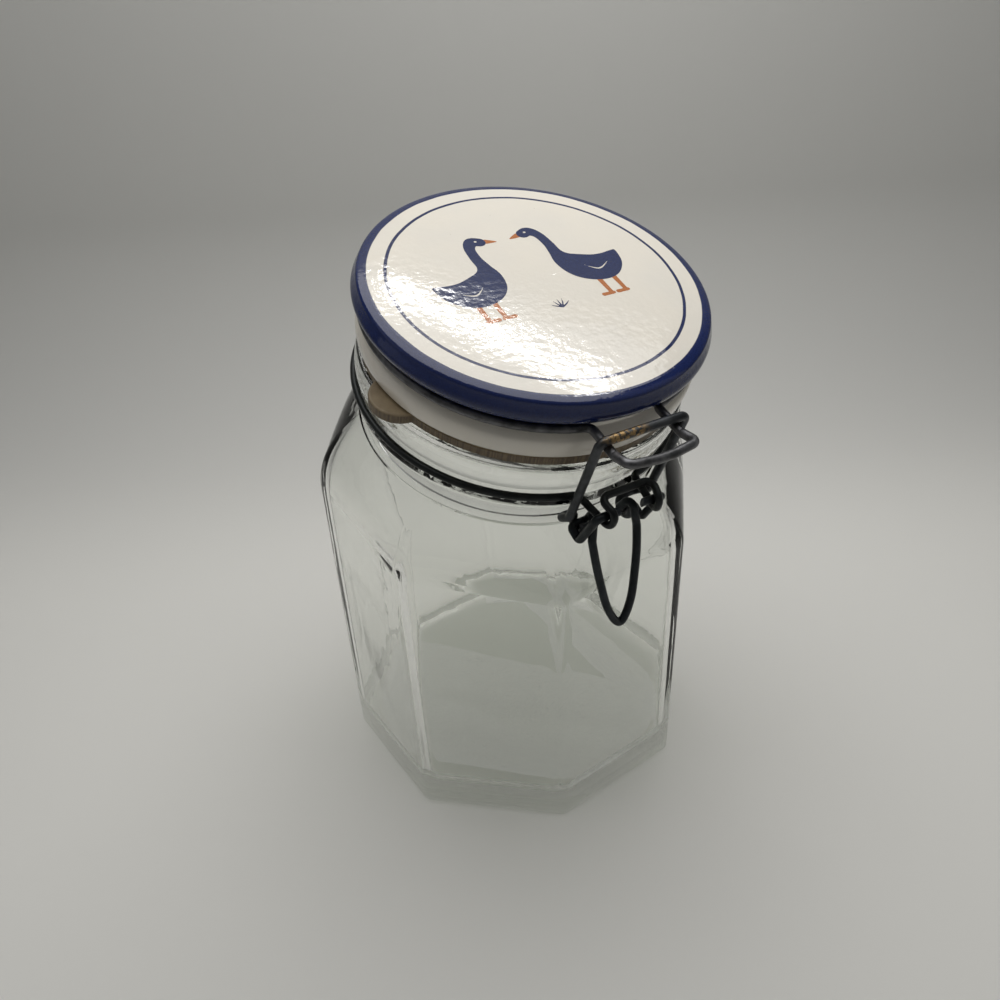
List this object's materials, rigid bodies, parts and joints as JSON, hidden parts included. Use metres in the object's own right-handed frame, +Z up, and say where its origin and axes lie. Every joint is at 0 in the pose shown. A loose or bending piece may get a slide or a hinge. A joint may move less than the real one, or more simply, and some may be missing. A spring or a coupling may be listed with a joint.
{
  "type": "storage jar",
  "caption": "Octagonal clear glass storage jar with a slanted mouth, a glazed ceramic lid on a rubber gasket, and a wire hinge and clasp",
  "frame": {"origin": "middle of the base, on the surface the jar stands on", "axes": "+Z up, the clasp is at -Y and the lid hinge at +Y, +X completes a right-handed frame"},
  "size_m": [0.123, 0.1426, 0.194],
  "materials": {
    "clear_glass": "clear, smooth",
    "lid_glaze": "glossy cream glaze with a blue rim",
    "gasket_rubber": "matt, aged",
    "wire_black": "blackened steel wire",
    "wire_grey": "dull grey steel wire"
  },
  "bodies": {
    "jar": {"glass_jar": "clear_glass", "neck_wire": "wire_black"},
    "lid": {"ceramic_lid": "lid_glaze", "rubber_gasket": "gasket_rubber", "lid_wire": "wire_grey"},
    "lever_body": {"lever": "wire_black"},
    "link_body": {"link": "wire_black"}
  },
  "joints": [
    {"name": "lever_pivot", "type": "hinge", "parent": "jar", "child": "lever_body", "pos_m": [0, -0.06664, 0.12424], "axis": [-1, 0, 0], "range_deg": [0, 96]},
    {"name": "link_pivot", "type": "hinge", "parent": "lever_body", "child": "link_body", "pos_m": [0, -0.0537, 0.11497], "axis": [-1, 0, 0], "range_deg": [-91.2, 0]},
    {"name": "lid_hinge", "type": "hinge", "parent": "jar", "child": "lid", "pos_m": [0, 0.04434, 0.16722], "axis": [-1, 0, 0], "range_deg": [0, 99.84]}
  ],
  "couplings": [
    {"joint": "link_pivot", "follows": "lever_pivot", "ratio": -0.95},
    {"joint": "lid_hinge", "follows": "lever_pivot", "ratio": 1.04}
  ]
}
